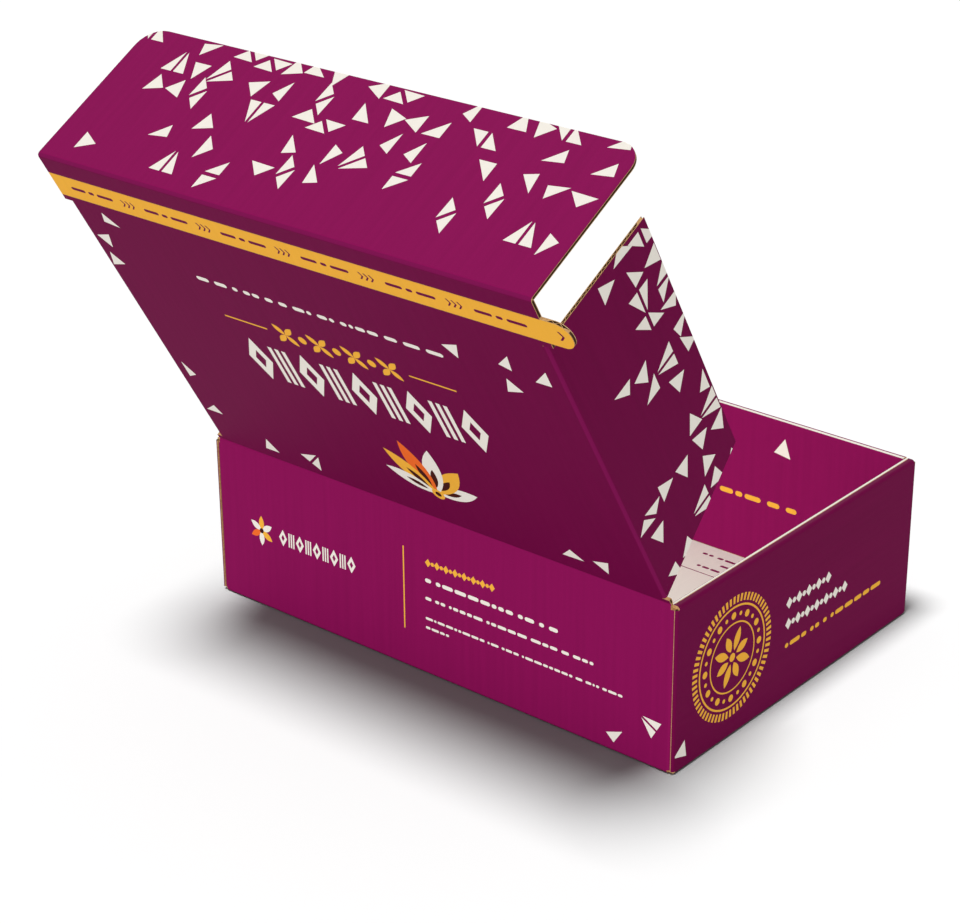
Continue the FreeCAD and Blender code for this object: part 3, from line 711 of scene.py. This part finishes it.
def rounded(corners, sides=6):
    """A polygon from corners, each with its place along, its place across and its radius."""
    shape = []
    for index, (along, across, radius) in enumerate(corners):
        point = Vector((along, across))
        if not radius:
            shape.append(tuple(point))
            continue
        back = (Vector(corners[index - 1][:2]) - point).normalized()
        ahead = (Vector(corners[(index + 1) % len(corners)][:2]) - point).normalized()
        half = back.angle(ahead) / 2
        centre = point + (back + ahead).normalized() * radius / math.sin(half)
        first = point + back * radius / math.tan(half) - centre
        last = point + ahead * radius / math.tan(half) - centre
        for step in range(sides + 1):
            spoke = first.slerp(last, step / sides).normalized() * radius
            shape.append(tuple(centre + spoke))
    return shape


dress("lid", kraft_board("kraft_lid", OUTWARD, HINGE.dot(OUTWARD) * MM, ALONG))
lid_front = LID_REACH - CREASE_FULL
notch_start, notch_end = SIDE_START - NOTCH, SIDE_END + NOTCH
lid_outline = rounded([
    (CREASE_FULL, TAB_INNER, 0), (notch_start, TAB_INNER, 0), (notch_start, CREASE_SIDE, 0),
    (notch_end, CREASE_SIDE, 0), (notch_end, TAB_OUTER, 0), (lid_front, TAB_OUTER, 0),
    (lid_front, -TAB_OUTER, 0), (STRIP_FRONT, -TAB_OUTER, 0), (STRIP_FRONT, -PULL_END, PULL_FRONT_RADIUS),
    (PULL_REAR, -PULL_END, PULL_REAR_RADIUS), (PULL_REAR, -TAB_OUTER, 0), (notch_end, -TAB_OUTER, 0),
    (notch_end, -CREASE_SIDE, 0), (notch_start, -CREASE_SIDE, 0), (notch_start, -TAB_INNER, 0),
    (CREASE_FULL, -TAB_INNER, 0)])
strip_cuts = []
cut_start = CUT_INSET - TAB_OUTER
cut_count = int((-2 * cut_start - CUT_LENGTH) / CUT_PITCH) + 1
for row in (STRIP_FRONT, STRIP_REAR):
    for index in range(cut_count):
        start = cut_start + CUT_PITCH * index
        strip_cuts.append(rectangle(row - CUT_HALF, row + CUT_HALF, start, start + CUT_LENGTH))


def chevron(start, middle, height):
    """A mark like an arrow's head, pointing away from the print's left edge."""
    arm, tip, notch = start + 0.46 * height, start + 1.2 * height, start + 0.74 * height
    return [(start, middle - height), (arm, middle - height), (tip, middle),
            (arm, middle + height), (start, middle + height), (notch, middle)]


# the lid's print is drawn across from its left edge, as seen from behind, and up from the hinge:
# loose marks along the hinge, the left edge and the pull tab's side
def lid_chance(across, up):
    """How likely a place on the lid has a mark."""
    if up < 18 and (across < 80 or across > 205):
        return 0.5
    if across < 26:
        return 0.34
    return 0.5 if across > 190 and 112 < up < 150 else 0.0


lid_art = scatter(7, 2, 250, 4, 160, 14, lid_chance, 10)

# the gold tear strip, drawn past both edges of the lid, with bars and chevrons in turn and one
# chevron on the pull tab
STRIP_BARS = ((0, 8.5), (10.3, 13.6), (15.4, 25))
STRIP_REPEATS, STRIP_ART_START, STRIP_ART_STEP, STRIP_BAR_HEIGHT = 6, 10, 43.5, 1.7
CHEVRON_START, CHEVRON_STEP, CHEVRON_HEIGHT = 30.2, 2.7, 2
lid_art += [("gold", rectangle(-10, 300, STRIP_REAR, STRIP_FRONT))]
strip_middle = (STRIP_REAR + STRIP_FRONT) / 2
# the strip's bars and chevrons are in the lid's plum, which carries painted shade
for repeat in range(STRIP_REPEATS):
    base = STRIP_ART_START + STRIP_ART_STEP * repeat
    for low, high in STRIP_BARS:
        lid_art.append(("deep_plum", rounded_bar(base + low, base + high, strip_middle, STRIP_BAR_HEIGHT)))
    for mark in range(3 if repeat < STRIP_REPEATS - 1 else 0):
        start = base + CHEVRON_START + CHEVRON_STEP * mark
        lid_art.append(("deep_plum", chevron(start, strip_middle, CHEVRON_HEIGHT)))
lid_art.append(("deep_plum", chevron(TAB_OUTER + PULL_END - 6.5, strip_middle, 2.4)))

# a line of short dashes, a row of gold flowers and dots between two rules, and a broad frieze
FLOWER_ROW, FLOWER_START, FLOWER_STEP = 108.7, 101, 9.5
RULE_LOWER, RULE_UPPER = 108.3, 109.2
lid_art += stitches(68, 62, 198, middle=131, height=2.3, ink="cream")
for low, high in ((66, 90.5), (168.5, 193)):
    lid_art.append(("gold", rectangle(low, high, RULE_LOWER, RULE_UPPER)))
for index in range(7):
    middle = (FLOWER_START + FLOWER_STEP * index, FLOWER_ROW)
    if index % 2:
        lid_art.append(("gold", disc(middle, 2.2, sides=20)))
    else:
        for turn in range(4):
            lid_art.append(("gold", petal(middle, math.radians(45 + 90 * turn), length=7.6, width=3.2)))
# the frieze's ground is the lid's plum with painted shade
lid_art += frieze(66, 199, middle=83.5, height=27, count=9, ground="deep_plum")

# a fan of six leaves in the print's colours, each with a small dark one, and a round hub
FAN_ROOT = (145, 22)
FAN = ((20, 27, 8, "cream"), (48, 31, 9.5, "gold"), (76, 34, 10, "cream"),
       (104, 34, 10, "orange"), (132, 31, 9.5, "gold"), (160, 27, 8, "cream"))
for degrees, length, width, ink in FAN:
    angle = math.radians(degrees)
    lid_art.append((ink, petal(FAN_ROOT, angle, length, width, sides=10)))
    lid_art.append(("umber", petal(around(FAN_ROOT, 5, angle), angle, length * 0.42, width * 0.36)))
lid_art.append(("gold", disc(FAN_ROOT, 3.4, sides=28)))
lid_art.append(("umber", disc(FAN_ROOT, 1.6, sides=20)))

lid_outer_route = fold_route([(CREASE_FULL, -HALF_BOARD, 0), (lid_front, -HALF_BOARD, 0)])
lid_inner_route = fold_route([(lid_front, HALF_BOARD, 0), (CREASE_FULL, HALF_BOARD, 0)])


def in_lid(point, across):
    return HINGE + ALONG * point.x - OUTWARD * point.y + Vector((across, 0, 0))


def from_crease(polygon):
    return [(along - CREASE_FULL, across) for along, across in polygon]


def from_front(polygon):
    return [(lid_front - along, across) for along, across in polygon]


# the lid's plum ground carries painted shade
printed_skin("lid_outer_print", "lid", lid_outer_route, in_lid, from_crease(lid_outline), "deep_plum",
             moved(lid_art, lambda across, up: (up - CREASE_FULL, TAB_OUTER - across)),
             [from_crease(cut) for cut in strip_cuts])
printed_skin("lid_inner_print", "lid", lid_inner_route, in_lid,
             from_front(lid_outline), "cream", cuts=[from_front(cut) for cut in strip_cuts])

# Front flap: the same board, folded square at the lid's front crease, and over the front wall's
# outside when the box is shut. Triangles crowd towards its free edge with its two round corners.
FRONT_REACH = 77.0
FLAP_RADIUS = 11
HANG = -OUTWARD
flap_outline = rounded([
    (CREASE_FULL, -TAB_OUTER, 0), (FRONT_REACH, -TAB_OUTER, FLAP_RADIUS),
    (FRONT_REACH, TAB_OUTER, FLAP_RADIUS), (CREASE_FULL, TAB_OUTER, 0)])
dress("front_flap", kraft_board("kraft_front_flap", ALONG, FLAP_HINGE.dot(ALONG) * MM, HANG))
flap_outer_route = fold_route([(CREASE_FULL, -HALF_BOARD, 0), (FRONT_REACH, -HALF_BOARD, 0)])
flap_inner_route = fold_route([(FRONT_REACH, HALF_BOARD, 0), (CREASE_FULL, HALF_BOARD, 0)])
FLAP_MARK_SPACING, FLAP_MARK_SIZE = 11.6, 11


def flap_chance(across, down):
    """How likely a place has a mark, more so further down from the crease."""
    return min(0.72, 0.12 + 0.8 * max(0.0, (down - 18) / 50))


flap_art = scatter(31, -129, 129, 6, 80, FLAP_MARK_SPACING, flap_chance, FLAP_MARK_SIZE)


def in_front_flap(point, across):
    return FLAP_HINGE + HANG * point.x - ALONG * point.y + Vector((across, 0, 0))


printed_skin("front_flap_outer_print", "front_flap", flap_outer_route, in_front_flap,
             from_crease(flap_outline), "plum",
             moved(flap_art, lambda across, down: (down - CREASE_FULL, across)))
printed_skin("front_flap_inner_print", "front_flap", flap_inner_route, in_front_flap,
             [(FRONT_REACH - down, across) for down, across in flap_outline], "cream")

# Side flaps: fold square under the lid's ends and slide inside the rolled end walls. Their rear
# edge slopes to clear the hinge.
SIDE_REACH = 66.0
SIDE_SLOPE = 23.4
ROUTE_SPARE = 5
side_outline = [(SIDE_START, CREASE_FULL), (SIDE_END, CREASE_FULL), (SIDE_END, SIDE_REACH),
                (SIDE_START + SIDE_SLOPE, SIDE_REACH)]
side_stop = SIDE_END + ROUTE_SPARE
side_outer, side_inner = -SIDE_CREASE - HALF_BOARD, HALF_BOARD - SIDE_CREASE
side_outer_route = fold_route([(0, side_outer, 0), (side_stop, side_outer, 0)])
side_inner_route = fold_route([(side_stop, side_inner, 0), (0, side_inner, 0)])
kraft_side = kraft_board("kraft_side_flaps", (1, 0, 0), SIDE_CREASE * MM, ALONG, mirrored=True)


def side_chance(along, down):
    """How likely a place has a mark: near the free edge, and in the corner by the hinge."""
    by_hinge = 0.75 if along < 48 and down < 46 else 0.0
    return min(0.85, 0.08 + 0.85 * max(0.0, (down - 24) / 36) + by_hinge)


for side, side_name, seed in ((-1, "left", 5), (1, "right", 19)):
    dress(f"side_flap_{side_name}", kraft_side)
    side_art = scatter(seed, 2, 158, 4, 68, FLAP_MARK_SPACING, side_chance, FLAP_MARK_SIZE)

    def in_side_flap(point, down, side=side):
        return HINGE + ALONG * point.x + HANG * down + Vector((-side * point.y, 0, 0))

    # the side flaps' plum ground carries painted shade
    printed_skin(f"{side_name}_side_flap_outer_print", f"side_flap_{side_name}", side_outer_route,
                 in_side_flap, side_outline, "deep_plum", side_art)
    printed_skin(f"{side_name}_side_flap_inner_print", f"side_flap_{side_name}", side_inner_route,
                 in_side_flap, [(side_stop - along, down) for along, down in side_outline], "cream")

# Creases: where a flap folds, the board is crushed thin but both liners run on, so a strip lies
# across each hinge, plum outside and cream inside. On a sharp fold the ridge's facets carry a painted
# highlight, a paler plum.
CREASE_NECK = 0.55
SHOULDER_PLACE, SHOULDER_OUT = 0.4, 0.72
CREASE_SHARP = 55


def crease_strip(name, pivot, ways, outs, axis, span, facet_inks):
    """A strip of crushed board across a hinge, at its rest fold.

    ways run along the two panels, from the first to the second, and outs stand out of their
    printed faces. facet_inks colour the outer facets in that order, two or four of them."""
    face = HALF_BOARD + SKIN_HIGH
    middle_out = (outs[0] + outs[1]).normalized()
    section = [pivot - ways[0] * CREASE_FULL + outs[0] * face,
               pivot + middle_out * CREASE_NECK,
               pivot + ways[1] * CREASE_FULL + outs[1] * face,
               pivot + ways[1] * CREASE_FULL - outs[1] * face,
               pivot - middle_out * CREASE_NECK,
               pivot - ways[0] * CREASE_FULL - outs[0] * face]
    if len(facet_inks) == 4:
        section.insert(2, pivot + ways[1] * SHOULDER_PLACE + outs[1] * SHOULDER_OUT)
        section.insert(1, pivot - ways[0] * SHOULDER_PLACE + outs[0] * SHOULDER_OUT)
    materials = [inks[ink] for ink in facet_inks] + [kraft, inks["cream"], inks["cream"], kraft]
    count = len(section)
    vertices = [(point + axis * place) * MM for place in span for point in section]
    following = [(corner + 1) % count for corner in range(count)]
    faces = [[corner, after, after + count, corner + count] for corner, after in enumerate(following)]
    faces += [list(range(count))[::-1], list(range(count, 2 * count))]
    centre = (sum(section, Vector()) / count + axis * span[0]) * MM
    one, two, three = (vertices[corner] for corner in faces[0][:3])
    if (two - one).cross(three - one).dot(one - centre) < 0:
        faces = [loop[::-1] for loop in faces]
    mesh = bpy.data.meshes.new(name)
    mesh.from_pydata(vertices, [], faces)
    for material in materials:
        mesh.materials.append(material)
    mesh.polygons.foreach_set("material_index", list(range(count)) + [count - 1, count - 1])
    mesh.shade_smooth()
    mesh.set_sharp_from_angle(angle=math.radians(CREASE_SHARP))
    strip = bpy.data.objects.new(name, mesh)
    bpy.context.scene.collection.objects.link(strip)
    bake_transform(strip)


ACROSS = Vector((1, 0, 0))
# from the back wall's plum to the lid's plum with painted shade
crease_strip("lid_crease", HINGE, (Vector((0, 0, 1)), ALONG), (Vector((0, 1, 0)), OUTWARD),
             ACROSS, (-TAB_INNER, TAB_INNER), ("plum", "deep_plum"))
# the front flap's crease: plum with painted shade, two facets with a painted highlight, then plum
crease_strip("front_flap_crease", FLAP_HINGE, (ALONG, HANG), (OUTWARD, ALONG),
             ACROSS, (-TAB_OUTER, TAB_OUTER), ("deep_plum", "plum_painted_highlight", "plum_painted_highlight", "plum"))
for side, side_name in ((-1, "left"), (1, "right")):
    sideways = Vector((side, 0, 0))
    # the side flaps' creases: plum with painted shade, the ridge with a painted highlight
    crease_strip(f"{side_name}_side_flap_crease",
                 HINGE + sideways * SIDE_CREASE, (sideways, HANG), (OUTWARD, sideways),
                 ALONG, (SIDE_START, SIDE_END), ("deep_plum", "plum_painted_highlight", "plum_painted_highlight", "deep_plum"))

# Surroundings: a white floor that keeps the box's shadow, a white sky that is brighter above, a soft
# low light from the camera's side, a weaker one from the front, one for the floor's shadow and one
# for the bottom of the box, which the photograph shows bright in the lid's shade.

# the floor's edges and top, in metres
FLOOR_LEFT, FLOOR_RIGHT, FLOOR_FRONT, FLOOR_BACK, FLOOR_TOP = -6, 9, -9, 6, -0.0002
floor_mesh = bpy.data.meshes.new("floor")
floor_corners = [(FLOOR_LEFT, FLOOR_FRONT, FLOOR_TOP), (FLOOR_RIGHT, FLOOR_FRONT, FLOOR_TOP),
                 (FLOOR_RIGHT, FLOOR_BACK, FLOOR_TOP), (FLOOR_LEFT, FLOOR_BACK, FLOOR_TOP)]
floor_mesh.from_pydata(floor_corners, [], [(0, 1, 2, 3)])
floor = bpy.data.objects.new("floor", floor_mesh)
bpy.context.scene.collection.objects.link(floor)
white = bpy.data.materials.new("floor_white")
white.use_nodes = True
nodes, links = white.node_tree.nodes, white.node_tree.links
nodes.remove(nodes["Principled BSDF"])
plain = nodes.new("ShaderNodeBsdfDiffuse")
UNSEEN_GREY, SEEN_GREY = 0.13, 0.25
SKY_AT_HORIZON, SKY_ABOVE = 0.36, 0.80


def seen_directly(nodes, links):
    """1 on rays from the camera, in reflections and through glass, 0 on rays that only carry light."""
    rays = nodes.new("ShaderNodeLightPath")
    total = rays.outputs["Is Camera Ray"]
    for kind in ("Is Glossy Ray", "Is Transmission Ray"):
        either = nodes.new("ShaderNodeMath")
        either.operation = "MAXIMUM"
        links.new(total, either.inputs[0])
        links.new(rays.outputs[kind], either.inputs[1])
        total = either.outputs["Value"]
    return total


paint = nodes.new("ShaderNodeMix")
paint.data_type = "RGBA"
paint.inputs["A"].default_value = (UNSEEN_GREY, UNSEEN_GREY, UNSEEN_GREY, 1)
paint.inputs["B"].default_value = (SEEN_GREY, SEEN_GREY, SEEN_GREY, 1)
links.new(seen_directly(nodes, links), paint.inputs["Factor"])
links.new(paint.outputs["Result"], plain.inputs["Color"])
links.new(plain.outputs["BSDF"], nodes["Material Output"].inputs["Surface"])
floor_mesh.materials.append(white)

world = bpy.data.worlds.new("sky")
bpy.context.scene.world = world
world.use_nodes = True
nodes, links = world.node_tree.nodes, world.node_tree.links
background = nodes["Background"]
background.inputs["Color"].default_value = (1, 1, 1, 1)
way = nodes.new("ShaderNodeTexCoord")
parts = nodes.new("ShaderNodeSeparateXYZ")
links.new(way.outputs["Generated"], parts.inputs["Vector"])
height = nodes.new("ShaderNodeMapRange")
height.inputs["To Min"].default_value = SKY_AT_HORIZON
height.inputs["To Max"].default_value = SKY_ABOVE
links.new(parts.outputs["Z"], height.inputs["Value"])
level = nodes.new("ShaderNodeMix")
links.new(seen_directly(nodes, links), level.inputs["Factor"])
links.new(height.outputs["Result"], level.inputs["A"])
level.inputs["B"].default_value = 1.0
links.new(level.outputs["Result"], background.inputs["Strength"])


def direction_from(azimuth, elevation):
    """Where something stands that looks at the box: azimuth 0 is at -Y and 90 at +X, in degrees."""
    turn, rise = math.radians(azimuth), math.radians(elevation)
    return Vector((math.sin(turn) * math.cos(rise), -math.cos(turn) * math.cos(rise), math.sin(rise)))


def sun(name, receivers, strength, angle, azimuth, elevation, shadow):
    """A distant light on what a collection holds. angle is how wide it looks, in degrees."""
    light = bpy.data.lights.new(name, "SUN")
    light.energy = strength
    light.angle = math.radians(angle)
    light.use_shadow = shadow
    lamp = bpy.data.objects.new(name, light)
    lamp.rotation_euler = direction_from(azimuth, elevation).to_track_quat("Z", "Y").to_euler()
    bpy.context.scene.collection.objects.link(lamp)
    lamp.light_linking.receiver_collection = receivers


def linked_to(name, surface):
    """A collection for light linking that holds one surface."""
    collection = bpy.data.collections.new(name)
    collection.objects.link(surface)
    return collection


without_floor = linked_to("all_but_the_floor", floor)
without_floor.collection_objects[0].light_linking.link_state = "EXCLUDE"
only_floor = linked_to("only_the_floor", floor)
only_inside = linked_to("only_the_box_floor", floor_print)
sun("low_light", without_floor, 2.0, angle=20, azimuth=206, elevation=15, shadow=False)
sun("front_light", without_floor, 1.0, angle=30, azimuth=40, elevation=32, shadow=True)
sun("floor_light", only_floor, 11.1, angle=16, azimuth=168, elevation=78.5, shadow=True)
sun("inner_light", only_inside, 0.6, angle=30, azimuth=206, elevation=60, shadow=False)

# Camera: a long lens about 1.2 m away, behind the box and to its left, with its place and lens
# fitted to the box's corners in the photograph. It looks at a point on the box's middle plane.
CAMERA_AZIMUTH, CAMERA_ELEVATION, CAMERA_ROLL = 220.133, 25.034, -0.426
CAMERA_TARGET, CAMERA_DISTANCE = Vector((0.04902, 0, 0.05774)), 1.21066
camera_data = bpy.data.cameras.new("camera")
camera_data.lens = 96.03
camera_data.sensor_width = 36
camera_data.clip_start = 0.05
camera_data.clip_end = 40
camera = bpy.data.objects.new("camera", camera_data)
back = direction_from(CAMERA_AZIMUTH, CAMERA_ELEVATION)
roll = Matrix.Rotation(math.radians(CAMERA_ROLL), 3, "Z")
camera.location = CAMERA_TARGET + back * CAMERA_DISTANCE
camera.rotation_euler = (back.to_track_quat("Z", "Y").to_matrix() @ roll).to_euler()
bpy.context.scene.collection.objects.link(camera)
bpy.context.scene.camera = camera
bpy.context.scene.view_settings.view_transform = "Standard"
